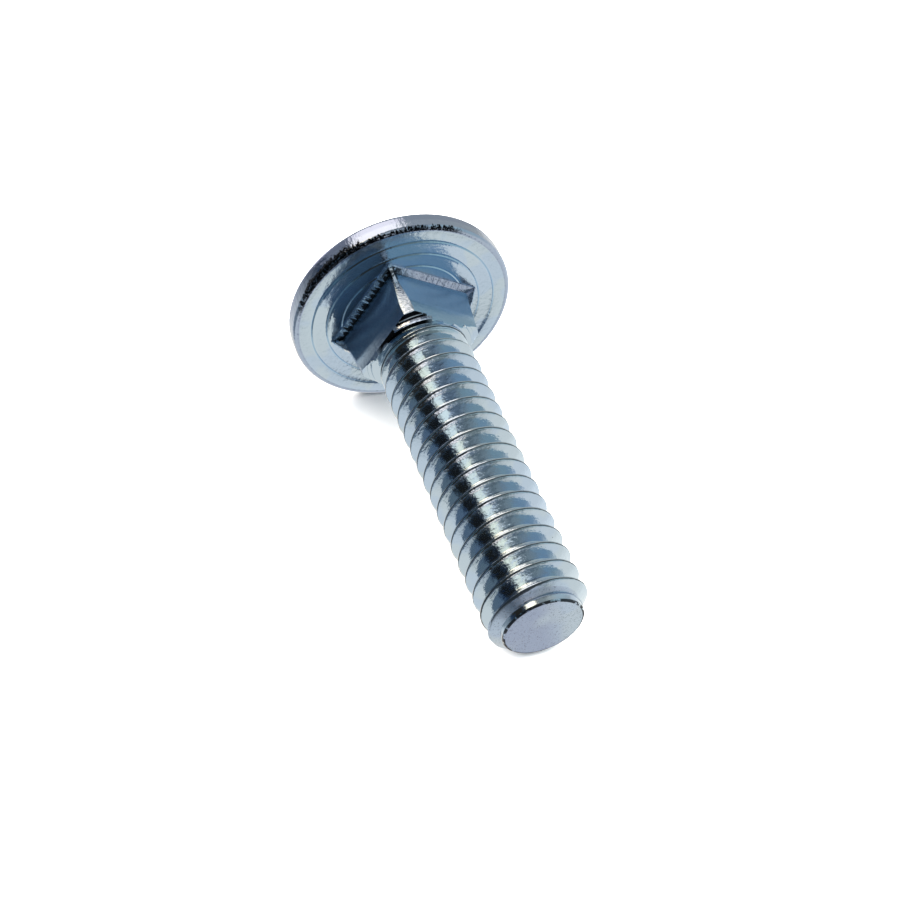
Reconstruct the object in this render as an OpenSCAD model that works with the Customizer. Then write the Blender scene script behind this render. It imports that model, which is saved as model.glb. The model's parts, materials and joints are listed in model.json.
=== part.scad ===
// Carriage bolt: low domed head, square neck with finned, blunted corners, rolled
// right-hand thread to the head and a short plain point. It is one forged and
// rolled piece. The bolt is drawn along its own axis, with the underside of
// the head at zero and the point at +Z, and is then laid down as it rests on a
// table: on the rim of its head and on its last thread crest, pointing to +X.

/* [Head] */
// Diameter of the head
head_d = 14.8; // [13:0.1:17]
// Height of the head, from its underside to the top of the dome
head_h = 3.5; // [2.8:0.1:4.2]
// Height of the rim below the dome
rim_h = 1.3; // [1:0.05:1.5]
// Radius of the rim's edge at the underside
rim_seat_r = 0.3; // [0.1:0.05:0.4]
// Radius of the rim's edge at the dome
rim_dome_r = 0.4; // [0.1:0.05:0.5]
// Number of the shallow rings that the die leaves in the underside
ring_count = 3; // [0:1:3]
// Radius of the innermost ring
ring_r = 4.2; // [4:0.05:4.4]
// Distance from one ring to the next
ring_gap = 1; // [0.8:0.05:1.2]
// Width of a ring
ring_w = 0.14; // [0.08:0.01:0.2]
// Depth of a ring
ring_depth = 0.04; // [0.02:0.01:0.08]

/* [Square neck] */
// Width of the neck across its flats
neck_w = 6.2; // [5.8:0.1:7]
// Length of the neck at its corners
neck_l = 3.55; // [2.5:0.05:5]
// Width across the neck's blunted corners at its end
neck_corner_d = 7.86; // [7.4:0.02:8.1]
// Width across the neck's corners halfway, where they are still nearly sharp
neck_middle_d = 8.4; // [8.2:0.02:8.7]
// Distance of that place from the head
corner_run = 1.3; // [0.5:0.1:2]
// Rise of the neck's end face from its corners to the shank
shoulder_rise = 0.6; // [0.1:0.05:0.8]
// Width of the sloped strip round the neck's foot
foot_w = 0.45; // [0.2:0.05:0.8]
// Height of the sloped strip round the neck's foot
foot_h = 0.26; // [0.1:0.02:0.3]
// Reach of the thin fins at the neck's corners from the bolt's axis, at the head
fin_r = 4.95; // [4.5:0.05:5.4]
// Distance from the head at which the fins end inside the corners
fin_h = 1.6; // [0.8:0.1:2]
// Thickness of the fins
fin_w = 0.18; // [0.1:0.02:0.3]

/* [Thread] */
// Outer diameter of the thread
thread_d = 6.2; // [5.8:0.05:6.4]
// Pitch of the thread
pitch = 1.27; // [1:0.01:1.5]
// Diameter of the rolled blank
blank_d = 5.5; // [5.2:0.05:5.7]
// Width of the flat on the crest
crest_w = 0.18; // [0.1:0.02:0.3]
// Width of the flat at the root
root_w = 0.24; // [0.15:0.02:0.35]
// Included angle of the thread
thread_angle = 60; // [55:1:60]
// Length of plain blank between the neck's corners and the thread
land_l = 0.8; // [0.6:0.05:2]
// Distance over which the thread reaches its full height
runout_l = 2.2; // [1:0.1:4]
// Height over the head at which the crest's helix, carried back, starts its first turn
crest_start = 0.29; // [0:0.01:1.5]

/* [Point] */
// Length of the bolt, from the underside of the head to its point
bolt_l = 25.6; // [20:0.1:40]
// Diameter of the plain point
point_d = 4.9; // [4.6:0.1:5.1]
// Length of the plain point
point_l = 0.42; // [0.2:0.02:0.8]
// Length of the cone from the last crest to the plain point
cone_l = 0.32; // [0.2:0.02:0.6]
// Radius of the point's edge
point_edge_r = 0.12; // [0.05:0.01:0.2]

/* [Placing] */
// Turn of the bolt about its own axis as it lies
roll = 148.5; // [0:0.5:359.5]

/* [Hidden] */

// Fineness of round faces, and straight steps round one turn of the thread
$fn = 96;
turn_steps = 40;
// How far pieces of the one solid reach into each other
bite = 0.5;
// How far the thread's own surface starts below the blank's
sink = 0.06;

head_r = head_d / 2;
dome_rise = head_h - rim_h;
// The dome is an arc through its top and through the rim's upper corner
dome_r = (pow(head_r, 2) + pow(dome_rise, 2)) / (2 * dome_rise);
dome_z = dome_r - head_h;
// Where the upper edge's arc touches the dome and the rim
rim_dome_x = head_r - rim_dome_r;
rim_dome_z = dome_z - sqrt(pow(dome_r - rim_dome_r, 2) - pow(rim_dome_x, 2));

neck_corner_r = neck_corner_d / 2;
neck_middle_r = neck_middle_d / 2;
corner_full_r = neck_w / sqrt(2);

thread_r = thread_d / 2;
blank_r = blank_d / 2;
flank_l = (pitch - crest_w - root_w) / 2;
root_r = thread_r - flank_l / tan(thread_angle / 2);
point_r = point_d / 2;
cone_end_r = point_r + sink;
cone_end_z = bolt_l - point_l;
cone_start_z = cone_end_z - cone_l;
shank_z = neck_l + shoulder_rise;
land_z = neck_l + land_l;
thread_z0 = land_z - bite / 2;

// The bolt lies on the seat edge of its rim and on its last crest
last_crest_z = cone_start_z - crest_w;
lie_a = head_r - rim_seat_r - thread_r;
lie_b = last_crest_z + rim_seat_r;
lie_tilt = acos(-rim_seat_r / norm([lie_a, lie_b])) - atan2(lie_b, lie_a);

// Share of the full thread at height z along the axis
function grown(z) = max(0, min(1, (z - land_z) / runout_l));

// Radius of the crest and of the root at height z
function crest_at(z) = blank_r - sink + (thread_r - blank_r + sink) * pow(grown(z), 0.7);
function root_at(z) = blank_r - sink + (root_r - blank_r + sink) * grown(z);

// The cone at the thread's end, and the blank that fills the last groove
function cone_at(z) = thread_r + (cone_end_r - thread_r) * (z - cone_start_z) / cone_l;
function filled_at(z) = root_r + (cone_end_r - root_r) * (z - last_crest_z) / (cone_end_z - last_crest_z);

// Radius of the thread's surface: row 0 and 1 bound a crest, 2 and 3 a root
function surface_r(row, z) =
    let (at = floor(row) % 4, part = row - floor(row),
         crest = crest_at(z), root = root_at(z),
         plain = at == 0 ? crest
               : at == 1 ? crest + (root - crest) * part
               : at == 2 ? root
               : root + (crest - root) * part)
    min(max(plain, z > last_crest_z ? filled_at(z) : 0), z > cone_start_z ? cone_at(z) : thread_r);

// Distance along the axis from the start of a turn to each of its four rows
row_starts = [0, crest_w, crest_w + flank_l, crest_w + flank_l + root_w];

// Height of a row, counted from the head, at a step of the turn
function row_z(row, step) =
    crest_start + pitch * (floor(row / 4) + step / turn_steps) + row_starts[row % 4];

// Row number, with its fraction, of the surface at height z and a step
function row_at(z, step) =
    let (along = (z - row_z(0, step)) / pitch, turn = floor(along),
         x = (along - turn) * pitch,
         at = x >= row_starts[3] ? 3 : x >= row_starts[2] ? 2 : x >= row_starts[1] ? 1 : 0,
         next = at == 3 ? pitch : row_starts[at + 1])
    4 * turn + at + (x - row_starts[at]) / (next - row_starts[at]);

function on_surface(row, z, step) =
    let (r = surface_r(row, z), a = 360 * step / turn_steps)
    [r * cos(a), r * sin(a), z];

// Outline of the head, from its axis outwards
module head_profile() {
    intersection() {
        translate([0, dome_z]) circle(dome_r);
        union() {
            translate([0, -head_h]) square([rim_dome_x, head_h - rim_seat_r]);
            translate([0, rim_dome_z]) square([head_r, -rim_seat_r - rim_dome_z]);
            translate([0, -head_h]) square([head_r - rim_seat_r, head_h]);
            translate([head_r - rim_seat_r, -rim_seat_r]) circle(rim_seat_r);
            translate([rim_dome_x, rim_dome_z]) circle(rim_dome_r);
        }
    }
}

module head() {
    rotate_extrude()
        difference() {
            intersection() {
                head_profile();
                translate([0, -head_h]) square([head_r, head_h]);
            }
            for (i = [0 : 1 : ring_count - 1]) translate([ring_r + i * ring_gap, 0]) ring_section();
        }
}

// Section of a die ring, sunk into the underside by its lower half
module ring_section() {
    polygon([[-ring_w / 2, 0], [0, -ring_depth], [ring_w / 2, 0], [0, ring_depth]]);
}

// Outline that blunts the square's corners and slopes its end face
module neck_limit() {
    rotate_extrude()
        polygon([
            [0, -bite],
            [corner_full_r + bite, -bite],
            [corner_full_r, 0],
            [neck_middle_r, corner_run],
            [neck_corner_r, neck_l],
            [blank_r, shank_z],
            [0, shank_z]
        ]);
}

module neck() {
    intersection() {
        translate([-neck_w / 2, -neck_w / 2, -bite]) cube([neck_w, neck_w, bite + shank_z]);
        neck_limit();
    }
}

// Sloped strip where the neck's flats meet the head
module foot() {
    foot_out = neck_w + 2 * foot_w;
    linear_extrude(height = foot_h, scale = neck_w / foot_out) square(foot_out, center = true);
    translate([-foot_out / 2, -foot_out / 2, -bite]) cube([foot_out, foot_out, bite]);
}

// Thin fin that the die's parting leaves at each corner of the neck
module fins() {
    for (i = [0 : 3])
        rotate(45 + 90 * i)
            rotate([90, 0, 0])
                linear_extrude(height = fin_w, center = true)
                    polygon([
                        [corner_full_r - bite, -bite],
                        [fin_r, -bite],
                        [fin_r, 0],
                        [neck_corner_r, fin_h],
                        [neck_corner_r - bite, fin_h]
                    ]);
}

module land() {
    cylinder(h = land_z, r = blank_r);
}

// Rolled thread: one surface along the helix, cut square at both ends
module thread() {
    rows = 4 * ceil((cone_end_z - crest_start) / pitch + 1);
    count = turn_steps;
    ring = [for (z = [thread_z0, cone_end_z], i = [0 : count - 1])
        on_surface(row_at(z, i), z, i)];
    grid = [for (row = [0 : rows + 3], i = [0 : count - 1])
        on_surface(row, row_z(row, i), i)];
    function corner(row, i) =
        i == count ? corner(row + 4, 0)
        : row_z(row, i) <= thread_z0 ? i
        : row_z(row, i) >= cone_end_z ? count + i
        : 2 * count + row * count + i;
    quads = [for (row = [0 : rows - 1], i = [0 : count - 1])
        [corner(row, i), corner(row, i + 1), corner(row + 1, i + 1), corner(row + 1, i)]];
    sides = [for (q = quads, t = [[q[0], q[2], q[1]], [q[0], q[3], q[2]]])
        if (t[0] != t[1] && t[1] != t[2] && t[2] != t[0]) t];
    ends = [[for (i = [0 : count - 1]) i], [for (i = [count - 1 : -1 : 0]) count + i]];
    polyhedron(concat(ring, grid), concat(sides, ends));
}

module point() {
    rotate_extrude() {
        translate([0, cone_start_z]) square([point_r, bolt_l - cone_start_z - point_edge_r]);
        translate([0, cone_start_z]) square([point_r - point_edge_r, bolt_l - cone_start_z]);
        intersection() {
            translate([point_r - point_edge_r, bolt_l - point_edge_r]) circle(point_edge_r);
            translate([0, cone_start_z]) square([point_r, bolt_l - cone_start_z]);
        }
    }
}

module carriage_bolt() {
    color("lightsteelblue")
        rotate([0, 90 + lie_tilt, 0])
            rotate(roll)
                union() {
                    head();
                    foot();
                    fins();
                    neck();
                    land();
                    thread();
                    point();
                }
}

carriage_bolt();
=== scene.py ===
"""Looks of a zinc-plated carriage bolt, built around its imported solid.

The bolt is modelled in millimetres along its own axis, with the underside of
the head at zero and the point at +Z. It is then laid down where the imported
solid lies, in metres.
"""

import json
import logging
import math
from dataclasses import dataclass, field
from enum import Enum
from typing import Any

import bmesh
import bpy
from mathutils import Matrix, Vector, noise


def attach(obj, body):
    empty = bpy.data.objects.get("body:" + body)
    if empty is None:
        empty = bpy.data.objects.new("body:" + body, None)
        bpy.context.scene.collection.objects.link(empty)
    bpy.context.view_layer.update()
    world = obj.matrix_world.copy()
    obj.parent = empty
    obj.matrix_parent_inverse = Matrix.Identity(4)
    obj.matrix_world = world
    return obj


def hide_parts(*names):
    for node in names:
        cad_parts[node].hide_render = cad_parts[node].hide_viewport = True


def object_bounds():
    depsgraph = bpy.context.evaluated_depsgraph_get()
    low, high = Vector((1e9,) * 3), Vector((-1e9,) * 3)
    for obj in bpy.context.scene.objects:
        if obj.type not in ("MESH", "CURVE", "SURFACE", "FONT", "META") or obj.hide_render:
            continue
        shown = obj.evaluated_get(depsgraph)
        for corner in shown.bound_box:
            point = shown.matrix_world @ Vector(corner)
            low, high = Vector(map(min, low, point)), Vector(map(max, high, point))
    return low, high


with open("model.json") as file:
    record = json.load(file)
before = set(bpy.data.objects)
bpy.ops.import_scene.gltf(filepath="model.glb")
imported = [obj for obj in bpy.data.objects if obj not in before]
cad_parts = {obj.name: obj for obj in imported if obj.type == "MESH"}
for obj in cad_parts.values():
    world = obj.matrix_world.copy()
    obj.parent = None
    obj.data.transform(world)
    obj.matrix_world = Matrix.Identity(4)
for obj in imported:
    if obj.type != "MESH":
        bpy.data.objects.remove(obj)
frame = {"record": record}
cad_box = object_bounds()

log = logging.getLogger("carriage_bolt")
NODE = "carriage_bolt"
MILLIMETRE = 0.001
WELD = 1e-4
UP = Vector((0, 0, 1))
# A bound that no measure of the bolt reaches, for a band that is open at one end.
FAR = 99.0

Span = tuple[float, float]
Outline = list[Span]
Shell = bmesh.types.BMesh
Tree = bpy.types.NodeTree
Socket = bpy.types.NodeSocket
Shares = dict[str, Socket]


class Cut(Enum):
    """Side of a cutting plane that is thrown away."""

    BEYOND = "clear_outer"
    BEFORE = "clear_inner"


def linear(colour: str) -> tuple[float, float, float, float]:
    """Linear colour of an sRGB hex value such as #B0C0D4."""
    parts = [int(colour[i:i + 2], 16) / 255 for i in (1, 3, 5)]
    return (*[c / 12.92 if c <= 0.04045 else ((c + 0.055) / 1.055) ** 2.4 for c in parts], 1.0)


def add_node(
    tree: Tree, kind: str, settings: dict[str, Any] | str | None = None,
    inputs: dict[Any, Any] | None = None, out: int | str | None = 0,
) -> Socket | None:
    """Adds one node to a tree.

    Args:
        tree: Tree that gets the node.
        kind: Blender's name for the node's type, without its prefix.
        settings: Properties of the node, or its operation alone.
        inputs: Value, or socket to link from, for each input name or number.
        out: Name or number of the output that is wanted, or None.

    Returns:
        That output of the node.
    """
    made = tree.nodes.new(f"ShaderNode{kind}")
    if isinstance(settings, str):
        settings = {"operation": settings}
    for name, value in (settings or {}).items():
        setattr(made, name, value)
    for name, value in (inputs or {}).items():
        if isinstance(value, Socket):
            tree.links.new(value, made.inputs[name])
        else:
            made.inputs[name].default_value = value
    return None if out is None else made.outputs[out]


def overlap(*shares: Socket) -> Socket:
    """Multiplies shares, so that the result is 1 only where all of them are.

    Args:
        shares: The shares.

    Returns:
        Their product.
    """
    both = shares[0]
    for share in shares[1:]:
        both = add_node(both.id_data, "Math", "MULTIPLY", {0: both, 1: share})
    return both


def band(value: Socket, low: float, high: float, soft: float) -> Socket:
    """Turns a measure into a share that is 1 between two bounds.

    Args:
        value: The measure.
        low: Lower bound.
        high: Upper bound.
        soft: Width outside each bound over which the share falls to 0.

    Returns:
        The share.
    """
    return overlap(*[
        add_node(
            value.id_data, "MapRange", {"interpolation_type": "SMOOTHSTEP"},
            {"Value": value, "From Min": none, "From Max": full},
        )
        for none, full in ((low - soft, low), (high + soft, high))
    ])


def layered(start: float, layers: list[tuple[Socket, float]]) -> Socket:
    """Adds patterns to a start value.

    Args:
        start: Value without any pattern.
        layers: Each pattern with the amount that it is multiplied by.

    Returns:
        The sum.
    """
    total: Any = start
    for pattern, amount in layers:
        inputs = {0: pattern, 1: amount, 2: total}
        total = add_node(pattern.id_data, "Math", "MULTIPLY_ADD", inputs)
    return total


def painted(colour: Any, coats: list[tuple[Socket, str, float]]) -> Socket:
    """Lays colours over each other.

    Args:
        colour: Linear colour under all the coats.
        coats: For each coat the share where it lies, its sRGB hex colour and how much it hides.

    Returns:
        The blended colour.
    """
    for share, over, most in coats:
        part = add_node(share.id_data, "Math", "MULTIPLY", {0: share, 1: most})
        inputs = {0: part, 6: colour, 7: linear(over)}
        colour = add_node(share.id_data, "Mix", {"data_type": "RGBA"}, inputs, 2)
    return colour


def arc(centre: Span, radius: float, start: float, end: float, steps: int) -> Outline:
    """Points along a round stretch of an outline.

    Args:
        centre: Centre of the arc, as radius and height.
        radius: Radius of the arc.
        start: First angle in degrees, from the outward direction.
        end: Last angle in degrees.
        steps: Number of straight steps.

    Returns:
        The points, with both ends.
    """
    angles = [math.radians(start + (end - start) * i / steps) for i in range(steps + 1)]
    return [(centre[0] + radius * math.cos(a), centre[1] + radius * math.sin(a)) for a in angles]


def smooth_step(value: float, low: float, high: float) -> float:
    """Share from 0 at low to 1 at high, with soft ends."""
    share = min(1.0, max(0.0, (value - low) / (high - low)))
    return share * share * (3 - 2 * share)


def turned(outline: Outline, steps: int) -> Shell:
    """Turns an outline about the axis into a closed shell.

    Args:
        outline: Radius and height of each point, from one end on the axis to the other.
        steps: Number of straight steps round the axis.

    Returns:
        The shell.
    """
    shell = bmesh.new()
    verts = [shell.verts.new((r, 0.0, z)) for r, z in outline]
    edges = [shell.edges.new(pair) for pair in zip(verts, verts[1:])]
    bmesh.ops.spin(
        shell, geom=verts + edges, cent=(0, 0, 0), axis=UP,
        angle=2 * math.pi, steps=steps, use_merge=True,
    )
    bmesh.ops.remove_doubles(shell, verts=shell.verts, dist=WELD)
    bmesh.ops.recalc_face_normals(shell, faces=shell.faces)
    return shell


def whole(faces: list[bmesh.types.BMFace]) -> list:
    """Vertices, edges and faces of some faces, each once and in the same order each run."""
    verts = dict.fromkeys(v for f in faces for v in f.verts)
    return [*verts, *dict.fromkeys(e for f in faces for e in f.edges), *faces]


@dataclass
class Head:
    """Low domed head with a rounded rim and die rings on its underside."""

    diameter: float = 14.8
    height: float = 3.5
    rim_height: float = 1.3
    seat_edge: float = 0.3
    dome_edge: float = 0.4
    ring_radii: tuple[float, ...] = (6.2, 5.2, 4.2)
    ring_depth: float = 0.04
    ring_lip: float = 0.025
    ring_width: float = 0.14
    dome_steps: int = 40
    edge_steps: int = 10
    steps: int = 256

    def outline(self) -> Outline:
        """Draws the head's half section.

        Returns:
            Its points from the top of the dome to the middle of the underside.
        """
        radius, rise = self.diameter / 2, self.height - self.rim_height
        dome = (radius**2 + rise**2) / (2 * rise)
        middle = dome - self.height
        edge_x = radius - self.dome_edge
        edge_z = middle - math.sqrt((dome - self.dome_edge) ** 2 - edge_x**2)
        touch = math.degrees(math.atan2(edge_z - middle, edge_x))
        points = arc((0, middle), dome, -90, touch, self.dome_steps)
        points += arc((edge_x, edge_z), self.dome_edge, touch, 0, self.edge_steps)[1:]
        points += arc((radius - self.seat_edge, -self.seat_edge), self.seat_edge, 0, 90, self.edge_steps)
        # Each die ring is a fine groove with a lip on its inner side.
        half, lip = self.ring_width / 2, self.ring_lip
        groove = ((2, 0), (1, -lip / 3), (0, -self.ring_depth), (-1, lip), (-2, lip / 2), (-3.5, 0))
        points += [(ring + half * out, z) for ring in self.ring_radii for out, z in groove]
        return points + [(0, 0)]

    def shell(self) -> Shell:
        """The head as a closed shell."""
        return turned(self.outline(), self.steps)


@dataclass
class Shank:
    """Square neck, rolled thread and point, as one shell."""

    neck_width: float = 6.2
    neck_length: float = 3.55
    # Height and radius where the neck's corners are blunted, from inside the head to its end.
    corner_radii: Outline = field(
        default_factory=lambda: [(-0.5, 4.33), (0.0, 4.32), (1.3, 4.18), (3.55, 3.93)]
    )
    # Height and radius of the small steps between the neck and the blank.
    shoulder: Outline = field(
        default_factory=lambda: [
            (3.55, 3.93), (3.63, 3.6), (3.68, 3.58), (3.73, 3.39), (3.88, 3.34), (3.94, 3.12), (3.98, 2.9),
        ]
    )
    # The flats are drawn in with the square of the height over crown_from.
    crown_from: float = 2.5
    crown: float = 0.07
    flats_past: float = 0.9
    ring_step: float = 0.25
    bite: float = 0.5
    diameter: float = 6.2
    blank: float = 5.5
    fillet: float = 0.12
    fillet_fade: float = 0.3
    pitch: float = 1.27
    crest: float = 0.16
    root: float = 0.2
    root_round: float = 0.04
    flank_angle: float = 30.0
    crest_start: float = 0.29
    # Rolling raises two lobes beside each crest, which meet over the seam.
    lobe_width: float = 0.17
    lobe_in: float = 0.045
    # The thread grows out of the blank behind the neck, with these shares to start with.
    helix_gap: float = 0.45
    grow_from: float = 3.0
    grow_over: float = 3.2
    early_depth: float = 0.25
    early_height: float = 0.3
    early_lobe: float = 0.12
    early_lead: float = 0.22
    length: float = 25.6
    point_diameter: float = 4.9
    point_length: float = 0.42
    point_edge: float = 0.14
    point_flare: float = 0.06
    cone_length: float = 0.32
    turn_steps: int = 144
    pitch_rows: int = 30

    def __post_init__(self) -> None:
        """Works out the sizes that follow from the others."""
        self.outer = self.diameter / 2
        self.slope = 1 / math.tan(math.radians(self.flank_angle))
        self.groove_half = (self.pitch - self.crest) / 2
        self.bottom = self.outer - (self.groove_half - self.root / 2) * self.slope
        self.cone_end = self.length - self.point_length
        self.cone_start = self.cone_end - self.cone_length
        self.cone_end_radius = self.point_diameter / 2 + self.point_flare
        self.helix_low = self.neck_length + self.helix_gap

    def corner_radius(self, z: float) -> float:
        """Radius that blunts the neck's corners.

        Args:
            z: Height over the underside of the head.

        Returns:
            The radius there.
        """
        for (z0, r0), (z1, r1) in zip(self.corner_radii, self.corner_radii[1:]):
            if z <= z1:
                return r0 + (r1 - r0) * max(0.0, (z - z0) / (z1 - z0))
        return self.corner_radii[-1][1]

    def body_radius(self, z: float) -> float:
        """Radius of the blank, with its fillet behind the neck."""
        return self.blank / 2 + self.fillet * math.exp(-(z - self.helix_low) / self.fillet_fade)

    def surface_radius(self, z: float, angle: float) -> float:
        """Radius of the shank's surface.

        Args:
            z: Height over the underside of the head.
            angle: Direction round the axis, in radians.

        Returns:
            The radius, with the thread, its first shallow turns and the cone.
        """
        grown = smooth_step(z, self.grow_from, self.grow_from + self.grow_over)
        lead = self.early_lead * (1 - grown)
        middle = self.crest_start + self.crest / 2 + lead + self.pitch * angle / (2 * math.pi)
        off = (z - middle + self.pitch / 2) % self.pitch - self.pitch / 2
        body = self.body_radius(z)
        to_groove = self.pitch / 2 - abs(off)
        depth = self.early_depth + (1 - self.early_depth) * grown
        deep = body - (self.blank / 2 - self.bottom) * depth
        groove = deep + max(0.0, math.hypot(to_groove, self.root_round) - self.root / 2) * self.slope
        high = (self.outer - self.blank / 2) * (self.early_height + (1 - self.early_height) * grown)
        edge = self.pitch / 2 - self.root / 2 - (body + high - deep) / self.slope
        lobe = max(0.0, edge - self.early_lobe * (1 - grown) - self.lobe_in)
        swell = math.exp(-(((abs(off) - lobe) / self.lobe_width) ** 2))
        radius = min(groove, body + high * swell)
        last = self.cone_start - self.crest
        if z > last:
            run_out = (z - last) / (self.cone_end - last)
            radius = max(radius, self.bottom + (self.cone_end_radius - self.bottom) * run_out)
        if z > self.cone_start:
            down = (z - self.cone_start) / self.cone_length
            radius = min(radius, self.outer + (self.cone_end_radius - self.outer) * down)
        return radius

    def shell(self) -> Shell:
        """Builds the shank.

        Returns:
            The shank as a closed shell, with its lower end inside the head.
        """
        shell = self.helix()
        for height, side in ((self.helix_low, Cut.BEFORE), (self.cone_end, Cut.BEYOND)):
            bmesh.ops.bisect_plane(
                shell, geom=shell.verts[:] + shell.edges[:] + shell.faces[:], dist=WELD,
                plane_co=UP * height, plane_no=UP, **{side.value: True},
            )
        for v in shell.verts:
            angle = math.atan2(v.co.y, v.co.x)
            radius = self.surface_radius(v.co.z, angle)
            v.co.xy = (radius * math.cos(angle), radius * math.sin(angle))
        self.extend(shell, self.neck_rings(), self.helix_low)
        self.extend(shell, self.point_rings(), self.cone_end)
        self.square(shell)
        self.draw_in(shell)
        bmesh.ops.recalc_face_normals(shell, faces=shell.faces)
        return shell

    def helix(self) -> Shell:
        """Winds a plain tube whose rows of faces follow the thread.

        Returns:
            The tube as an open shell, which reaches past the thread at both ends.
        """
        shell = bmesh.new()
        low = self.helix_low - 1.5 * self.pitch
        turns = math.ceil((self.cone_end - low) / self.pitch) + 1
        rise = self.pitch / self.pitch_rows
        verts = [shell.verts.new((self.outer, 0, low + i * rise)) for i in range(self.pitch_rows + 1)]
        edges = [shell.edges.new(pair) for pair in zip(verts, verts[1:])]
        bmesh.ops.spin(
            shell, geom=verts + edges, cent=(0, 0, 0), axis=UP,
            dvec=(0, 0, self.pitch / self.turn_steps), angle=2 * math.pi, steps=self.turn_steps,
        )
        one_turn = shell.verts[:] + shell.edges[:] + shell.faces[:]
        for turn in range(1, turns):
            copy = bmesh.ops.duplicate(shell, geom=one_turn)["geom"]
            moved = [g for g in copy if isinstance(g, bmesh.types.BMVert)]
            bmesh.ops.translate(shell, verts=moved, vec=(0, 0, turn * self.pitch))
        bmesh.ops.remove_doubles(shell, verts=shell.verts, dist=WELD)
        return shell

    def neck_rings(self) -> Outline:
        """Lists the rings below the helix.

        Returns:
            Radius and height of each, down into the head.
        """
        rings = [(radius, z) for z, radius in reversed(self.shoulder)]
        count = math.ceil((self.neck_length + self.bite) / self.ring_step)
        heights = [self.neck_length - self.ring_step * i for i in range(1, count)] + [-self.bite]
        return rings + [(self.corner_radius(z), z) for z in heights]

    def point_rings(self) -> Outline:
        """Lists the rings past the cone.

        Returns:
            Radius and height of each, to the rim of the flat end face.
        """
        radius, edge = self.point_diameter / 2, self.point_edge
        rings = [(radius + 0.02, self.cone_end + 0.02), (radius + 0.01, self.cone_end + 0.06)]
        rings += arc((radius - edge, self.length - edge), edge, 0, 90, 6)
        return rings + [(radius - edge - 0.03, self.length), (radius - edge - 0.1, self.length)]

    @staticmethod
    def extend(shell: Shell, rings: Outline, start: float) -> None:
        """Carries an open end on through rings and closes it.

        Args:
            shell: The shell with an open end at the height start.
            rings: Radius and height of each ring.
            start: Height of the open end.
        """
        loop = [
            e for e in shell.edges
            if e.is_boundary and all(abs(v.co.z - start) < 10 * WELD for v in e.verts)
        ]
        for radius, z in rings:
            made = bmesh.ops.extrude_edge_only(shell, edges=loop)["geom"]
            loop = [e for e in made if isinstance(e, bmesh.types.BMEdge)]
            for v in dict.fromkeys(v for e in loop for v in e.verts):
                v.co = v.co.xy.normalized().to_3d() * radius + UP * z
            loop = [e for e in loop if e.is_boundary]
        bmesh.ops.holes_fill(shell, edges=loop, sides=0)

    def square(self, shell: Shell) -> None:
        """Cuts the four flats of the neck.

        Args:
            shell: The shank.
        """
        for quarter in range(4):
            normal = Matrix.Rotation(quarter * math.pi / 2, 3, "Z") @ Vector((1, 0, 0))
            limit = self.neck_length + self.flats_past
            faces = [f for f in shell.faces if f.calc_center_median().z < limit]
            bmesh.ops.bisect_plane(
                shell, geom=whole(faces), dist=WELD, plane_co=normal * self.neck_width / 2,
                plane_no=normal, **{Cut.BEYOND.value: True},
            )
            bmesh.ops.holes_fill(shell, edges=[e for e in shell.edges if e.is_boundary], sides=0)

    def draw_in(self, shell: Shell) -> None:
        """Draws the flats in a little towards the end of the neck.

        Args:
            shell: The shank.
        """
        half = self.neck_width / 2
        for _, height in self.neck_rings():
            if height > self.crown_from:
                flats = [
                    f for f in shell.faces
                    if any(abs(abs(f.normal[axis]) - 1) < WELD for axis in (0, 1))
                ]
                bmesh.ops.bisect_plane(
                    shell, geom=whole(flats), dist=WELD, plane_co=UP * height, plane_no=UP,
                )
        for v in shell.verts:
            inward = self.crown * max(0.0, v.co.z - self.crown_from) ** 2
            for axis in (0, 1):
                if abs(abs(v.co[axis]) - half) < WELD:
                    v.co[axis] -= math.copysign(inward, v.co[axis])


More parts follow.
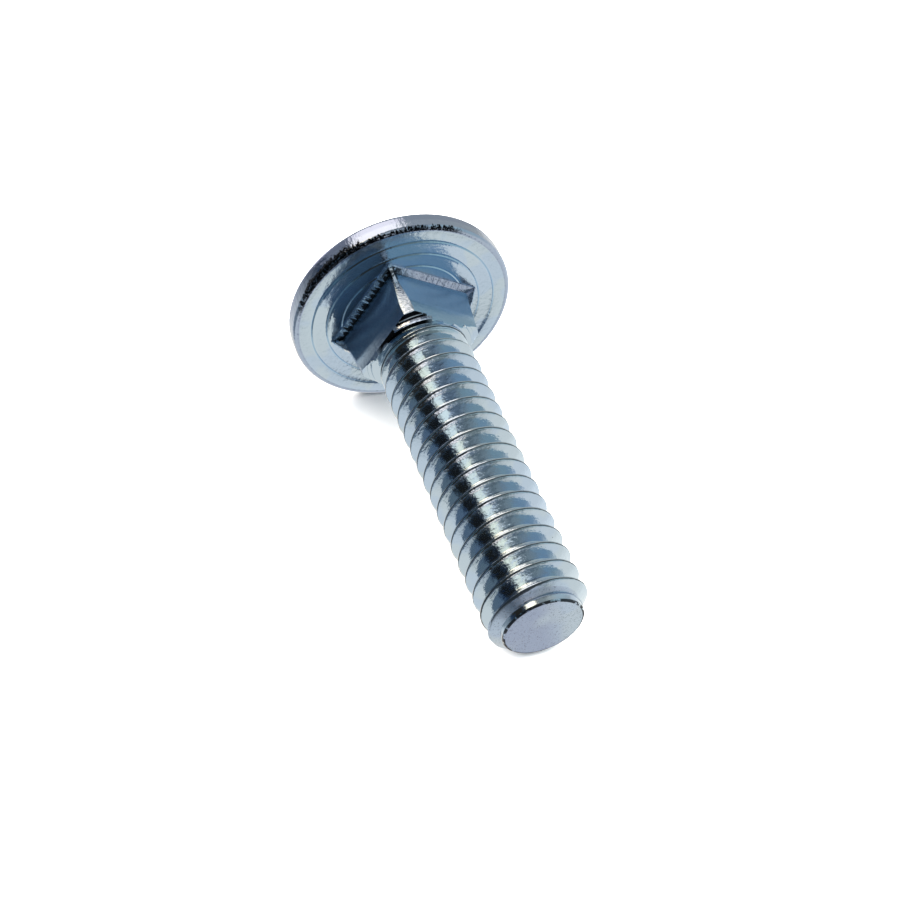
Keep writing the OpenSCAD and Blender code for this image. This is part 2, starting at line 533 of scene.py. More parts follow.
@dataclass
class Foot:
    """Raised strips and thin corner fins where the neck meets the head."""

    neck_width: float = 6.2
    strip: float = 0.45
    height: float = 0.26
    outer_height: float = 0.09
    inset: float = 0.02
    tuck: float = 0.4
    bite: float = 0.3
    cuts: int = 63
    # The heading die leaves small marks on the strips, a few to the millimetre.
    mark_scale: float = 2.5
    mark_height: float = 0.02
    fin_root: float = 0.6
    fin_reach: float = 0.56
    fin_low: float = 0.1
    fin_top: float = 1.45
    fin_half: float = 0.09
    fin_lean: float = 0.2
    fin_fade: float = 0.8
    fin_rag: float = 0.07
    fin_rags: float = 17.0
    fin_steps: int = 13

    def shells(self) -> list[Shell]:
        """The strips and the fins, each as a closed shell."""
        return [self.strips(), self.fins()]

    def strips(self) -> Shell:
        """Builds the sloped band round the foot, with its row of small marks.

        Returns:
            The band as a closed shell.
        """
        shell = bmesh.new()
        half, out = self.neck_width / 2, self.neck_width / 2 + self.strip
        rings = [
            (out, self.outer_height), (half - self.inset, self.height), (half - self.tuck, self.height),
        ]
        bmesh.ops.create_grid(shell, x_segments=1, y_segments=1, size=out)
        bmesh.ops.subdivide_edges(shell, edges=shell.edges[:], cuts=self.cuts, use_grid_fill=False)
        bmesh.ops.delete(shell, geom=shell.faces[:], context="FACES_ONLY")
        bmesh.ops.translate(shell, verts=shell.verts, vec=(0, 0, -self.bite))
        loop = shell.edges[:]
        for size, z in rings:
            made = bmesh.ops.extrude_edge_only(shell, edges=loop)["geom"]
            loop = [e for e in made if isinstance(e, bmesh.types.BMEdge) and e.is_boundary]
            for v in dict.fromkeys(v for e in loop for v in e.verts):
                scale = size / max(abs(v.co.x), abs(v.co.y))
                mark = noise.noise(Vector((v.co.x, v.co.y, 2 * z)) * self.mark_scale)
                v.co = Vector((v.co.x * scale, v.co.y * scale, z + self.mark_height * mark))
        bmesh.ops.holes_fill(shell, edges=loop, sides=0)
        bmesh.ops.holes_fill(shell, edges=[e for e in shell.edges if e.is_boundary], sides=0)
        bmesh.ops.recalc_face_normals(shell, faces=shell.faces)
        return shell

    def fins(self) -> Shell:
        """Builds a thin rough fin at each corner, highest at the head.

        Returns:
            The four fins as closed shells in one mesh.
        """
        shell = bmesh.new()
        corner = self.neck_width / math.sqrt(2)
        outer = corner + self.fin_reach
        outline = [(corner - self.fin_root, -self.bite), (outer, -self.bite), (outer, self.fin_low)]
        for i in range(1, self.fin_steps + 1):
            share = i / self.fin_steps
            ragged = self.fin_rag * noise.noise(Vector((share * self.fin_rags, 2.5, 0)))
            reach = self.fin_reach * (1 - share) ** self.fin_fade
            height = self.fin_low + (self.fin_top - self.fin_low) * share
            outline.append((corner - self.fin_lean * share + reach + ragged, height))
        outline.append((corner - self.fin_root, self.fin_top))
        face = shell.faces.new([shell.verts.new((r, -self.fin_half, z)) for r, z in outline])
        made = bmesh.ops.extrude_face_region(shell, geom=[face])["geom"]
        bmesh.ops.translate(
            shell, verts=[g for g in made if isinstance(g, bmesh.types.BMVert)],
            vec=(0, 2 * self.fin_half, 0),
        )
        bmesh.ops.rotate(shell, verts=shell.verts, matrix=Matrix.Rotation(math.pi / 4, 3, "Z"))
        bmesh.ops.spin(
            shell, geom=shell.verts[:] + shell.edges[:] + shell.faces[:], cent=(0, 0, 0),
            axis=UP, angle=1.5 * math.pi, steps=3, use_duplicate=True,
        )
        bmesh.ops.recalc_face_normals(shell, faces=shell.faces)
        return shell


@dataclass(frozen=True)
class Reach:
    """How far a mark goes round the bolt, to both sides of a direction.

    The turn is that direction in degrees. The mark is full up to the angle whose
    cosine is full, and gone where the cosine has fallen by soft.
    """

    turn: float
    full: float
    soft: float

    def direction(self) -> tuple[float, float, float]:
        """Unit vector of the direction, square to the bolt's axis."""
        return (math.cos(math.radians(self.turn)), math.sin(math.radians(self.turn)), 0.0)


@dataclass(frozen=True)
class Surface:
    """The bolt's parts, and where each point lies in the bolt's own millimetres."""

    tree: Tree
    head: Head
    shank: Shank
    foot: Foot
    y: Socket
    height: Socket
    radius: Socket
    outward: Socket
    across: Socket
    level: Socket
    side: Socket
    lift: Socket
    # Irregular patterns, around 0.5 each apart from the cells.
    film: Socket
    ripple: Socket
    grain: Socket
    lines: Socket
    teeth: Socket
    notches: Socket
    cells: Socket


@dataclass(frozen=True)
class ZincPlate:
    """Bright zinc plate on cold-headed steel, under a clear blue chromate film.

    The plate is a soft mirror that its film turns blue. The film is deepest on
    the flats of the neck and greyer where the metal was struck or cut. The
    blank's grain, the rolling die's lines and pits show through. Shade is painted
    dark in the crest's seam, under the rim, along the foot, on the shoulder, round
    the point and on one flat, with painted highlights on the shoulder and that flat.
    All sizes are in millimetres.
    """

    plate: str = "#AFC1D6"
    pale_film: str = "#BCC9CF"
    deep_film: str = "#83AACA"
    struck: str = "#A2B0C6"
    bloom: str = "#8D99B6"
    # Painted highlight: the white crescent on the shoulder.
    painted_glint: str = "#E4ECFF"
    # Dark of the real pits and specks, and of the painted shade in the crest's seam.
    pit_and_seam_shade: str = "#39424C"
    # Near-black of the painted shade and painted dark reflections.
    painted_shade: str = "#0A0D12"

    # The film changes slowly over a few millimetres.
    film_patch: float = 3.2
    # Cold heading leaves the surface rippled. Its height is set so that it bends the
    # reflections on the head and the point.
    ripple: float = 0.3
    ripple_height: float = 0.014
    # The plate's crystals are far too fine to show, so the grain is drawn coarser than it is.
    grain: float = 0.09
    grain_height: float = 0.004
    # Lines from the rolling die, longer round the thread than across it.
    line: float = 0.35
    line_squeeze: float = 4.0
    line_height: float = 0.01
    # Notches that the heading dies leave along the rim and the foot.
    tooth: float = 0.2
    tooth_height: float = 0.014
    # Pits of 0.07 mm, at three in ten of the places where one could be.
    pit_spacing: float = 0.8
    pit_radius: float = 0.035
    pit_share: float = 0.3
    # The seam that rolling leaves on the crest, where shade is painted dark; the painted shade opens at the
    # last crests.
    seam_from: float = 0.035
    seam_width: float = 0.055
    seam_fray: float = 0.05
    seam_soft: float = 0.015
    seam_opens: float = 0.08

    # Widths over which areas and marks end.
    crisp: float = 0.01
    close: float = 0.02
    soft: float = 0.03
    fade: float = 0.04
    faint: float = 0.06
    blur: float = 0.1

    # Where areas lie, from the edge of the bolt that each follows.
    neck_from: float = 0.05
    neck_past: float = 0.4
    corner_from: float = 0.45
    well_in: float = 1.0
    left_from: float = 0.15
    strip_over: float = 0.06
    rim_band: float = 0.33
    rim_fade: float = 0.08
    under_band: float = 0.3
    ring_half: float = 0.04
    thread_past: float = 0.5
    # Painted shade, and the film's smears on the end face, stronger to one side of the plane y = x.
    dark_side_from: float = 0.5
    dark_side_fade: float = 3.0

    # Painted shade, which lies to one side: under the rim, in the foot's marks, at the foot's
    # corner, on the shoulder and round the point; and a painted highlight on the shoulder.
    shade_side: Reach = Reach(54.0, 0.7, 0.14)
    deep_shade_side: Reach = Reach(76.0, 0.98, 0.06)
    # Side where the shoulder's painted shade and painted highlight lie.
    shaded: Reach = Reach(62.0, 0.86, 0.14)
    # Painted dark reflection along the seat edge under the rim, ragged by the notches.
    seat_start: float = 0.17
    seat_fray: float = 0.75
    seat_wave: float = 0.3
    seat_low: float = -0.47
    seat_widens: float = 0.42
    seat_bare: float = 0.62
    # Painted shade along the foot's strips on the dark side, ragged by the notches.
    bite_fray: float = 1.5
    bite_reach: float = 0.93
    # Painted shade at the foot's corner, where the neck meets the head.
    root_heights: Span = (0.02, 0.8)
    root_radii: Span = (4.2, 5.3)
    root_in: float = 0.35
    root_full: float = 0.47
    # Painted shade on the shoulder, with two lines left out of it.
    shoulder_rises: Span = (0.012, 0.42)
    shoulder_radii: Span = (3.0, 3.99)
    # Lines left out of the shoulder's painted shade.
    bright_line: Span = (3.26, 3.38)
    thin_line: Span = (3.56, 3.58)
    # Where the painted highlight lies on the shoulder.
    glint_rises: Span = (0.17, 0.35)
    glint_radii: Span = (3.26, 3.42)
    # Blotchy painted shade round the rim of the end face.
    point_deep: float = 0.1
    point_in: float = 0.13
    point_full: float = 0.44
    speck_full: float = 0.64

    def material(self, placing: Matrix, head: Head, shank: Shank, foot: Foot) -> bpy.types.Material:
        """Makes the plate's material.

        Args:
            placing: Matrix from the bolt's own frame to the row frame.
            head: Head, whose rim and rings the marks follow.
            shank: Shank, whose neck and thread the marks follow.
            foot: Foot, whose strips the marks follow.

        Returns:
            The material, whose patterns are measured in the bolt's own millimetres.
        """
        made = bpy.data.materials.new("bright_zinc_plate")
        made.use_nodes = True
        tree = made.node_tree
        tree.nodes.clear()
        at = self.surface(tree, placing, head, shank, foot)
        share = self.areas(at)
        share |= self.wear_and_seam_shade(at, share)
        share |= self.painted_light_marks(at, share)
        bump = add_node(tree, "Bump", None, {"Height": self.relief(at, share), "Distance": MILLIMETRE})
        shader = add_node(
            tree, "BsdfPrincipled", None,
            {
                "Base Color": self.colour(at, share), "Metallic": 1.0,
                "Roughness": self.dullness(at, share), "Normal": bump,
            },
        )
        add_node(tree, "OutputMaterial", None, {"Surface": shader}, None)
        return made

    def surface(self, tree: Tree, placing: Matrix, head: Head, shank: Shank, foot: Foot) -> Surface:
        """Works out where each point lies on the bolt, and the patterns there.

        Args:
            tree: Tree that gets the nodes.
            placing: Matrix from the bolt's own frame to the row frame.
            head: Head, whose rim the teeth go round.
            shank: Shank, whose flats and helix are followed.
            foot: Foot, whose strips the marks follow.

        Returns:
            The surface.
        """
        back = placing.inverted()
        own = add_node(
            tree, "Mapping", {"vector_type": "POINT"},
            {
                "Vector": add_node(tree, "TexCoord", out="Object"),
                "Location": back.to_translation(), "Rotation": back.to_euler(), "Scale": back.to_scale(),
            },
        )
        x = add_node(tree, "SeparateXYZ", None, {0: own}, "X")
        y, height = x.node.outputs["Y"], x.node.outputs["Z"]
        flat = add_node(tree, "VectorMath", "MULTIPLY", {0: own, 1: (1, 1, 0)})
        radius = add_node(tree, "VectorMath", "LENGTH", {0: flat}, "Value")
        outward = add_node(tree, "VectorMath", "NORMALIZE", {0: flat})
        first, second = [add_node(tree, "Math", "ABSOLUTE", {0: v}) for v in (x, y)]
        across = add_node(tree, "Math", "MAXIMUM", {0: first, 1: second})
        along = add_node(tree, "Math", "MINIMUM", {0: first, 1: second})
        past = add_node(tree, "Math", "SUBTRACT", {0: height, 1: shank.crown_from})
        past = add_node(tree, "Math", "MAXIMUM", {0: past, 1: 0.0})
        level = layered(0.0, [(across, 1.0), (overlap(past, past), shank.crown)])
        side = add_node(tree, "Math", "SUBTRACT", {0: y, 1: x})
        turn = add_node(tree, "Math", {"operation": "ARCTAN2"}, {0: y, 1: x})
        lift = layered(0.0, [(height, 1.0), (turn, -shank.pitch / (2 * math.pi))])
        stretch = {0: own, 1: (1, 1, self.line_squeeze)}
        squeezed = add_node(tree, "VectorMath", "MULTIPLY", stretch)
        row = add_node(tree, "CombineXYZ", None, {"X": along})
        patterns = [
            add_node(tree, "TexNoise", None, {"Vector": place, "Scale": 1 / size, "Detail": detail})
            for place, size, detail in (
                (own, self.film_patch, 2.0), (own, self.ripple, 3.0), (own, self.grain, 2.0),
                (squeezed, self.line, 2.0), (outward, self.tooth * 2 / head.diameter, 1.0),
                (row, self.tooth, 1.0),
            )
        ]
        spread = {"Vector": own, "Scale": 1 / self.pit_spacing}
        cells = add_node(tree, "TexVoronoi", None, spread, "Distance")
        return Surface(
            tree, head, shank, foot, y, height, radius, outward, across, level, side, lift,
            *patterns, cells,
        )

    def areas(self, at: Surface) -> Shares:
        """Marks off the areas that look different, and the sides where shade and a highlight are painted.

        Args:
            at: The bolt's surface.

        Returns:
            The share of each area.
        """
        head, shank, foot = at.head, at.shank, at.foot
        half, top = shank.neck_width / 2, shank.neck_length
        edge = head.diameter / 2
        sides = {
            name: band(add_node(
                at.tree, "VectorMath", "DOT_PRODUCT",
                {0: at.outward, 1: reach.direction()}, "Value",
            ), reach.full, FAR, reach.soft)
            for name, reach in (("shade_side", self.shade_side), ("deep_shade_side", self.deep_shade_side), ("shaded", self.shaded))
        }
        foot_height = band(at.height, self.soft, foot.height + self.strip_over, self.soft)
        flats = overlap(
            band(at.height, self.neck_from, top + self.neck_past, self.neck_from),
            band(at.level, half - self.crisp, half + self.crisp, self.crisp),
        )
        return sides | {
            # The side where shade is painted darker.
            "dark_side": band(at.side, self.dark_side_from, FAR, self.dark_side_fade),
            "foot_height": foot_height,
            "rim": band(at.radius, edge - self.rim_band, FAR, self.rim_fade),
            "under": overlap(
                band(at.height, -self.blur, self.soft, self.close),
                band(at.radius, 0.0, edge - self.under_band, self.close),
            ),
            "strip": overlap(foot_height, band(
                at.across, half + self.close, half + foot.strip + self.crisp, self.fade,
            )),
            "flats": flats,
            "left": overlap(flats, band(at.y, half - self.left_from, FAR, self.neck_from)),
            "corner": overlap(
                band(at.height, self.neck_from, top - self.crisp / 2, self.crisp / 2),
                band(at.level, self.well_in, half - self.close, self.crisp),
                band(at.radius, half + self.corner_from, FAR, self.blur),
            ),
            "thread": band(at.height, top + self.thread_past, shank.cone_start, self.blur),
            "cone": band(at.height, shank.cone_start, shank.cone_end, self.fade),
            "end": band(at.height, shank.length - self.close, FAR, self.crisp),
        }

    def wear_and_seam_shade(self, at: Surface, share: Shares) -> Shares:
        """Marks off what making the bolt leaves on it, and the crest's seam where shade is painted.

        Args:
            at: The bolt's surface.
            share: The areas.

        Returns:
            The shares of the rings, the pits, the specks and the seam's painted shade.
        """
        rings = [
            band(at.radius, ring - self.ring_half, ring + self.ring_half, self.fade)
            for ring in at.head.ring_radii
        ]
        random = at.cells.node.outputs["Color"]
        chosen = add_node(at.tree, "SeparateColor", None, {0: random})
        return {
            "rings": overlap(share["under"], layered(0.0, [(ring, 1.0) for ring in rings])),
            "pits": overlap(
                band(at.cells, -FAR, self.pit_radius / self.pit_spacing, self.crisp),
                band(chosen, -FAR, self.pit_share, self.crisp),
            ),
            "specks": overlap(
                band(at.grain, self.speck_full, FAR, self.neck_from),
                layered(0.0, [(share["end"], 0.7), (share["strip"], 1.0), (share["cone"], 0.9)]),
            ),
            # Painted shade in the crest's seam, wider at the last crests on one side.
            "seam": overlap(share["thread"], self.seam(at)),
        }

    def seam(self, at: Surface) -> Socket:
        """Marks off the seam that rolling leaves on the crest, where shade is painted dark.

        Args:
            at: The bolt's surface.

        Returns:
            The share.
        """
        shank = at.shank
        crest = shank.crest_start + shank.crest / 2
        off = add_node(
            at.tree, "Math", "WRAP",
            {
                0: layered(-crest, [(at.lift, 1.0), (at.ripple, self.seam_fray)]),
                1: shank.pitch / 2, 2: -shank.pitch / 2,
            },
        )
        last = overlap(
            band(at.height, shank.cone_start - 0.4, FAR, 1.2),
            band(at.side, self.dark_side_from, FAR, 2.5),
        )
        left = layered(self.seam_from + self.seam_width, [(last, self.seam_opens), (off, -1.0)])
        return overlap(
            band(off, self.seam_from, FAR, self.seam_soft),
            band(left, 0.0, FAR, self.seam_soft),
        )

    def painted_light_marks(self, at: Surface, share: Shares) -> Shares:
        """Marks off where shade is painted, and the painted highlight on the shoulder between it.

        Args:
            at: The bolt's surface.
            share: The areas.

        Returns:
            The shares.
        """
        head, shank = at.head, at.shank
        half, top, tip = shank.neck_width / 2, shank.neck_length, shank.length
        ragged = layered(self.seat_start, [
            (at.teeth, -self.seat_fray), (at.ripple, -self.seat_wave), (at.height, 1.0),
        ])
        widened = layered(1.0, [(share["deep_shade_side"], -self.seat_widens)])
        bare = band(at.grain, self.seat_bare, FAR, self.faint)
        notched = layered(0.0, [(at.across, 1.0), (at.notches, self.bite_fray)])
        low, high = self.shoulder_rises
        lines = [
            (band(at.radius, *self.bright_line, self.close), -1.0),
            (band(at.radius, *self.thin_line, self.close), -0.7),
        ]
        dawn, dusk = self.glint_rises
        return {
            # Painted dark reflection along the seat edge, on the shade side.
            "seat": overlap(
                share["shade_side"], layered(1.0, [(bare, -0.7)]),
                band(at.radius, head.diameter / 2 - head.seat_edge + self.soft, FAR, self.close),
                band(overlap(ragged, widened), self.seat_low, FAR, self.faint),
            ),
            # Painted shade along the foot's strips, ragged by the notches.
            "notch_shade": overlap(
                share["foot_height"], share["dark_side"],
                band(notched, half, half + self.bite_reach, self.fade),
            ),
            # Painted shade at the foot's near corner.
            "root": overlap(
                share["shade_side"], band(at.height, *self.root_heights, self.blur),
                band(at.radius, *self.root_radii, self.blur),
                band(at.across, self.well_in, half + self.root_in, self.close),
                band(at.ripple, self.root_full, FAR, self.neck_from),
            ),
            # Painted shade on the shoulder, on the shaded side.
            "shoulder": overlap(
                share["shaded"], band(at.height, top + low, top + high, self.crisp),
                band(at.radius, *self.shoulder_radii, self.fade), layered(1.0, lines),
            ),
            # Painted highlight: a white crescent on the shoulder, on the shaded side.
            "painted_glint": overlap(
                share["shaded"], band(at.height, top + dawn, top + dusk, self.close),
                band(at.radius, *self.glint_radii, self.close),
            ),
            # Blotchy painted shade round the rim of the end face.
            "point": overlap(
                band(at.height, tip - self.point_deep, FAR, self.close),
                band(at.radius, shank.point_diameter / 2 - self.point_in, FAR, self.soft),
                band(at.ripple, self.point_full, FAR, self.faint),
            ),
        }

    def colour(self, at: Surface, share: Shares) -> Socket:
        """Colours the plate, its film, the struck metal, the painted shade and the painted highlights.

        Args:
            at: The bolt's surface.
            share: The areas and marks.

        Returns:
            The colour.
        """
        speckled = band(at.grain, 0.5, FAR, 0.15)
        outer_rim = band(at.height, -FAR, -0.85, 0.25)
        left_shaded_span = band(at.height, -1.0, 0.3, 1.5)
        left_lit_span = band(at.height, 3.2, FAR, 1.1)
        smear = band(at.film, 0.5, FAR, 0.3)
        return painted(linear(self.plate), [
            (band(at.film, -FAR, 0.45, 0.08), self.pale_film, 0.45),
            (share["flats"], self.deep_film, 0.95),
            (share["rings"], self.deep_film, 0.5),
            (overlap(share["flats"], speckled), self.plate, 0.25),
            (share["rim"], self.struck, 0.8),
            (share["strip"], self.struck, 0.9),
            (share["end"], self.struck, 0.3),
            (overlap(share["rim"], at.ripple), self.bloom, 0.5),
            (overlap(share["strip"], at.ripple), self.bloom, 0.8),
            (overlap(share["rim"], outer_rim), self.bloom, 0.6),
            # Painted highlight on the shoulder.
            (share["painted_glint"], self.painted_glint, 0.95),
            # Painted shade on the left flat near the head, and painted light at its far end.
            (overlap(share["left"], left_shaded_span), self.painted_shade, 0.6),
            (overlap(share["left"], left_lit_span), self.plate, 0.85),
            # Painted shade: the strips darker and bluer on the dark side.
            (overlap(share["strip"], share["dark_side"]), self.deep_film, 0.75),
            (share["corner"], self.struck, 0.5),
            # Lavender film smears on the end face, laid on the dark side only: the film's colour and
            # painted shade.
            (overlap(share["end"], share["dark_side"], smear), self.bloom, 0.8),
            (share["specks"], self.pit_and_seam_shade, 0.5),
            (overlap(share["cone"], at.ripple), self.bloom, 0.5),
            (share["pits"], self.pit_and_seam_shade, 0.8),
            # Painted shade in the crest's seam.
            (share["seam"], self.pit_and_seam_shade, 0.9),
            # Painted shade: under the rim, along the foot, at the foot's corner, on the shoulder and round
            # the point.
            (share["seat"], self.painted_shade, 1.0),
            (share["notch_shade"], self.painted_shade, 0.95),
            (share["root"], self.painted_shade, 0.8),
            (share["shoulder"], self.painted_shade, 1.0),
            (share["point"], self.painted_shade, 0.9),
        ])

    def relief(self, at: Surface, share: Shares) -> Socket:
        """Works out the height of the fine relief, in millimetres.

        Args:
            at: The bolt's surface.
            share: The areas and marks.

        Returns:
            The height.
        """
        return layered(0.0, [
            (at.ripple, self.ripple_height),
            (at.grain, self.grain_height),
            (share["pits"], -self.pit_radius),
            (overlap(share["thread"], at.lines), self.line_height),
            (overlap(share["corner"], at.lines), 2 * self.line_height),
            (overlap(share["rim"], at.teeth), self.tooth_height / 2),
            (overlap(share["strip"], at.notches), self.tooth_height),
            (overlap(share["strip"], at.ripple), self.tooth_height / 2),
            (overlap(share["end"], at.ripple), self.grain_height),
            (overlap(share["rim"], at.ripple), self.tooth_height / 2),
        ])

    @staticmethod
    def dullness(at: Surface, share: Shares) -> Socket:
        """Works out the roughness: a near mirror, duller where it was struck or cut and where shade is
        painted.

        Args:
            at: The bolt's surface.
            share: The areas and marks.

        Returns:
            The roughness.
        """
        return layered(0.03, [
            (at.grain, 0.1), (share["flats"], 0.16), (share["under"], 0.06), (share["corner"], 0.05),
            (share["rim"], 0.03), (share["strip"], 0.1), (share["end"], 0.15), (share["cone"], 0.22),
            (share["seam"], 0.3), (share["seat"], 0.3), (share["notch_shade"], 0.3), (share["root"], 0.3),
            (share["shoulder"], 0.1), (share["point"], 0.3),
        ])


@dataclass
class CarriageBolt:
    """The whole bolt: its shells joined to one, and laid down as the solid lies."""

    head: Head = field(default_factory=Head)
    shank: Shank = field(default_factory=Shank)
    foot: Foot = field(default_factory=Foot)
    finish: ZincPlate = field(default_factory=ZincPlate)
    roll: float = 148.5
    sharp_angle: float = 30.0

    def placing(self) -> Matrix:
        """Works out where the bolt lies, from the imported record.

        Returns:
            Matrix from the bolt's own frame in millimetres to the row frame in metres.
        """
        seat = next(m for m in frame["record"]["mounts"] if m["name"] == "head_seat")
        axis = Vector(seat["axis"])
        tilt = math.atan2(axis.x, axis.z)
        lay = Matrix.Rotation(tilt, 4, "Y") @ Matrix.Rotation(math.radians(self.roll), 4, "Z")
        return Matrix.Translation(seat["pos_m"]) @ Matrix.Scale(MILLIMETRE, 4) @ lay

    def build(self) -> bpy.types.Object:
        """Joins the shells to one mesh and dresses it.

        Returns:
            The finished piece.
        """
        joined = self.joined([self.head.shell(), self.shank.shell(), *self.foot.shells()])
        placing = self.placing()
        joined.transform(placing)
        joined.name = "bolt"
        joined.materials.clear()
        joined.materials.append(self.finish.material(placing, self.head, self.shank, self.foot))
        joined.polygons.foreach_set("use_smooth", [True] * len(joined.polygons))
        joined.set_sharp_from_angle(angle=math.radians(self.sharp_angle))
        piece = bpy.data.objects.new("plated_bolt", joined)
        bpy.context.scene.collection.objects.link(piece)
        log.info("%s: %d faces", piece.name, len(joined.polygons))
        return piece

    @staticmethod
    def joined(shells: list[Shell]) -> bpy.types.Mesh:
        """Unites closed shells, which it uses up.

        Args:
            shells: The shells, each of which cuts into the first.

        Returns:
            One closed mesh.
        """
        parts = []
        for i, shell in enumerate(shells):
            mesh = bpy.data.meshes.new(f"shell_{i}")
            shell.to_mesh(mesh)
            open_edges = sum(e.is_boundary for e in shell.edges)
            log.info("shell %d: %d faces, open edges %d", i, len(shell.faces), open_edges)
            shell.free()
            part = bpy.data.objects.new(f"shell_{i}", mesh)
            bpy.context.scene.collection.objects.link(part)
            parts.append(part)
        for other in parts[1:]:
            join = parts[0].modifiers.new("join", "BOOLEAN")
            join.operation, join.solver, join.object = "UNION", "MANIFOLD", other
        graph = bpy.context.evaluated_depsgraph_get()
        united = bpy.data.meshes.new_from_object(parts[0].evaluated_get(graph))
        for part in parts:
            bpy.data.objects.remove(part)
        return united


@dataclass(frozen=True)
class Patch:
    """A round soft light or dark screen far from the bolt.

    The azimuth is counted from +Y towards +X. Azimuth, elevation and the radii
    where it is full and over which it fades are in degrees.
    """

    azimuth: float
    elevation: float
    full: float
    soft: float
    colour: str
    strength: float = 1.0

    def direction(self) -> Vector:
        """Unit vector from the bolt to the middle of the patch."""
        a, e = math.radians(self.azimuth), math.radians(self.elevation)
        return Vector((math.sin(a) * math.cos(e), math.cos(a) * math.cos(e), math.sin(e)))


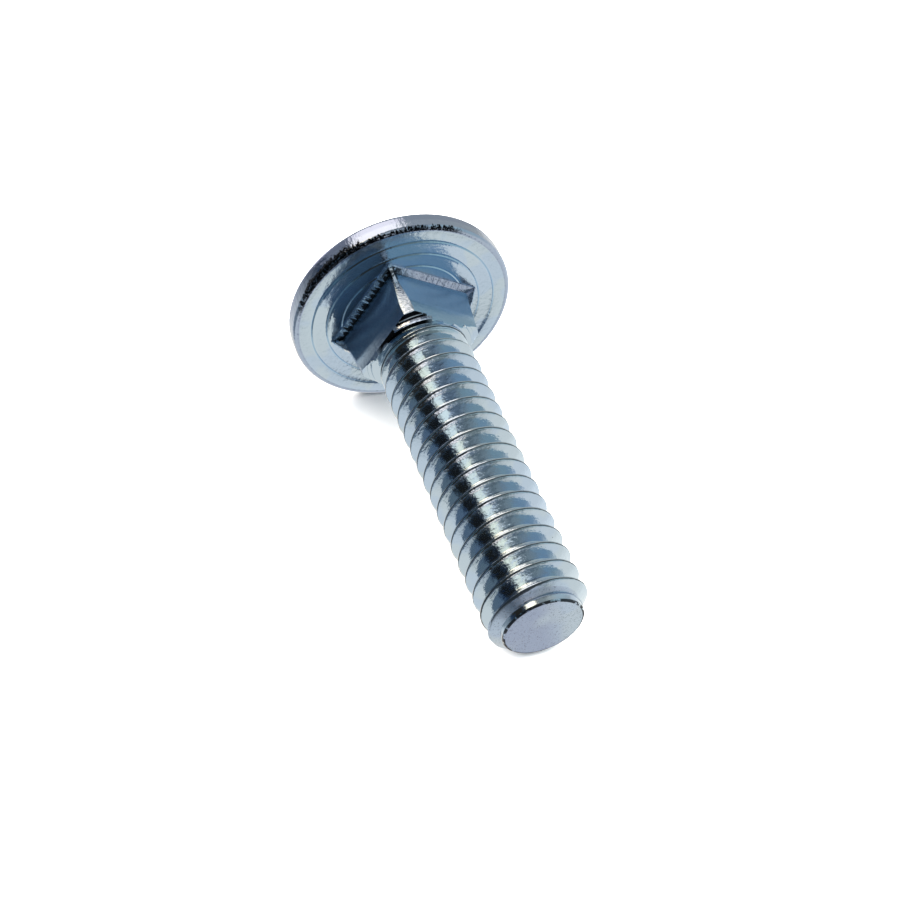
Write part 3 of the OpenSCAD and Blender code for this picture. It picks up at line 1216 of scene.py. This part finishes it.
@dataclass
class Studio:
    """Pale floor, soft light and the camera."""

    surround: str = "#48525C"
    # Each patch lies over those before it.
    patches: tuple[Patch, ...] = (
        # The pale table below, and the large soft light behind the point.
        Patch(-20, -70, 60, 60, "#FFFDF5", 1.08),
        Patch(-85, 17, 36, 11, "#FFF2F0", 1.4),
        # The dim room all round, with the dark gap beside the camera.
        Patch(150, 5, 36, 6, "#67808C"),
        Patch(178, -20, 24, 12, "#9BA5A8"),
        Patch(106, 9, 22, 6, "#2E2C28"),
        Patch(67, 20, 17, 9, "#84908F"),
        # Narrow light beside the gap, and pale walls and ceiling.
        Patch(90, 1, 5, 9, "#FFEBDB", 2.2),
        Patch(97, 63, 13, 17, "#DEDFDA"),
        Patch(-66, 33, 42, 10, "#CECFC8"),
        Patch(-75, 76, 8, 10, "#A8ACA8"),
        Patch(18, 28, 20, 24, "#C9DBDA", 1.1),
        # Small warm lights high up, and the dark screens between them.
        Patch(-162, 64, 9, 8, "#FFE8C4", 3.3),
        Patch(-102, 54, 15, 8, "#FFEDDC", 2.6),
        Patch(-126, 28, 8, 10, "#A9A9AC"),
        Patch(-154, 15, 11, 9, "#34485E"),
        Patch(-172, 28, 13, 8, "#302D28"),
        # The table again, brighter in two places and bluer in the room's shade.
        Patch(-124, -62, 12, 18, "#FFF0DC", 1.5),
        Patch(-18, -40, 16, 18, "#FFFDF5", 1.3),
        Patch(85, -25, 21, 8, "#5D6F7E"),
        Patch(80, -9, 11, 6, "#D0D2D4"),
        Patch(109, -33, 6, 3, "#56626E"),
        Patch(134, -15, 8, 6, "#5A5D68"),
    )
    # Power in watts, width and height of the lamp, and size of the floor, in metres.
    lamp_power: float = 90.0
    lamp_width: float = 2.4
    lamp_height: float = 1.0
    floor_radius: float = 1.0
    sweep: float = 1.0
    floor_steps: int = 96
    sweep_steps: int = 32
    paper_white: str = "#F4F4F4"
    # Point that the camera looks at, and its distance, in millimetres, and angles in degrees.
    aim: tuple[float, float, float] = (11.156, -0.658, -2.476)
    azimuth: float = 70.884
    elevation: float = 40.208
    distance: float = 97.76
    lens: float = 64.02
    sensor: float = 36.0

    def camera(self) -> None:
        """Places the camera at the photograph's angle."""
        data = bpy.data.cameras.new("camera")
        data.lens, data.sensor_width = self.lens, self.sensor
        data.clip_start, data.clip_end = 0.002, 10.0
        a, e = math.radians(self.azimuth), math.radians(self.elevation)
        back = Vector((math.sin(a) * math.cos(e), -math.cos(a) * math.cos(e), math.sin(e)))
        camera = bpy.data.objects.new("camera", data)
        camera.location = (Vector(self.aim) + back * self.distance) * MILLIMETRE
        camera.rotation_mode = "QUATERNION"
        camera.rotation_quaternion = (-back).to_track_quat("-Z", "Y")
        bpy.context.scene.collection.objects.link(camera)
        bpy.context.scene.camera = camera

    def surroundings(self) -> None:
        """Soft lights and dark screens all round, as the world's colour."""
        world = bpy.data.worlds.new("soft_studio")
        world.use_nodes = True
        tree = world.node_tree
        tree.nodes.clear()
        place = add_node(tree, "TexCoord", out="Generated")
        colour: Any = linear(self.surround)
        for patch in self.patches:
            towards = add_node(
                tree, "VectorMath", "DOT_PRODUCT",
                {0: place, 1: patch.direction()}, "Value",
            )
            away = add_node(tree, "Math", "ARCCOSINE", {0: towards})
            share = add_node(
                tree, "MapRange", {"interpolation_type": "SMOOTHSTEP"},
                {
                    "Value": away, "From Min": math.radians(patch.full + patch.soft),
                    "From Max": math.radians(patch.full),
                },
            )
            lit = Vector(linear(patch.colour)[:3]) * patch.strength
            colour = add_node(
                tree, "Mix", {"data_type": "RGBA"},
                {0: share, 6: colour, 7: (*lit, 1.0)}, 2,
            )
        ground = add_node(tree, "Background", None, {"Color": colour})
        add_node(tree, "OutputWorld", None, {"Surface": ground}, None)
        bpy.context.scene.world = world

    def lamp(self) -> None:
        """A wide lamp overhead that whitens the floor and stays out of the reflections."""
        data = bpy.data.lights.new("overhead", "AREA")
        data.shape, data.size, data.energy = "DISK", self.lamp_width, self.lamp_power
        lamp = bpy.data.objects.new("overhead", data)
        lamp.location = (0.0, 0.0, self.lamp_height)
        lamp.visible_glossy = False
        lamp.visible_camera = False
        bpy.context.scene.collection.objects.link(lamp)

    def floor(self) -> None:
        """A plain pale floor under the bolt, and a pale sweep round it for the camera alone."""
        paper = self.paper()
        disc = bmesh.new()
        bmesh.ops.create_circle(disc, cap_ends=True, radius=self.floor_radius, segments=self.floor_steps)
        round_up = arc((self.floor_radius, self.sweep), self.sweep, -90, 90, self.sweep_steps)
        sweep = turned([*round_up, (0.0, 2 * self.sweep)], self.floor_steps)
        for name, shell in (("floor", disc), ("sweep", sweep)):
            mesh = bpy.data.meshes.new(name)
            shell.to_mesh(mesh)
            shell.free()
            mesh.transform(Matrix.Translation((0, 0, cad_box[0].z)))
            mesh.materials.append(paper)
            mesh.polygons.foreach_set("use_smooth", [True] * len(mesh.polygons))
            part = bpy.data.objects.new(name, mesh)
            part.visible_glossy = False
            part.visible_diffuse = part.visible_shadow = name == "floor"
            bpy.context.scene.collection.objects.link(part)

    def paper(self) -> bpy.types.Material:
        """Makes the matt white background paper, which shows no gloss.

        Returns:
            The material.
        """
        made = bpy.data.materials.new("white_paper")
        made.use_nodes = True
        shader = made.node_tree.nodes["Principled BSDF"]
        shader.inputs["Base Color"].default_value = linear(self.paper_white)
        shader.inputs["Roughness"].default_value = 0.9
        shader.inputs["Specular IOR Level"].default_value = 0.0
        return made


def main() -> None:
    """Builds the bolt and the studio, and reports each piece."""
    logging.basicConfig(level=logging.INFO, format="%(name)s: %(message)s")
    bolt = CarriageBolt().build()
    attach(bolt, "root")
    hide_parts(NODE)
    studio = Studio()
    studio.floor()
    studio.surroundings()
    studio.lamp()
    studio.camera()
    bpy.context.scene.view_settings.view_transform = "Standard"


if __name__ == "__main__":
    main()
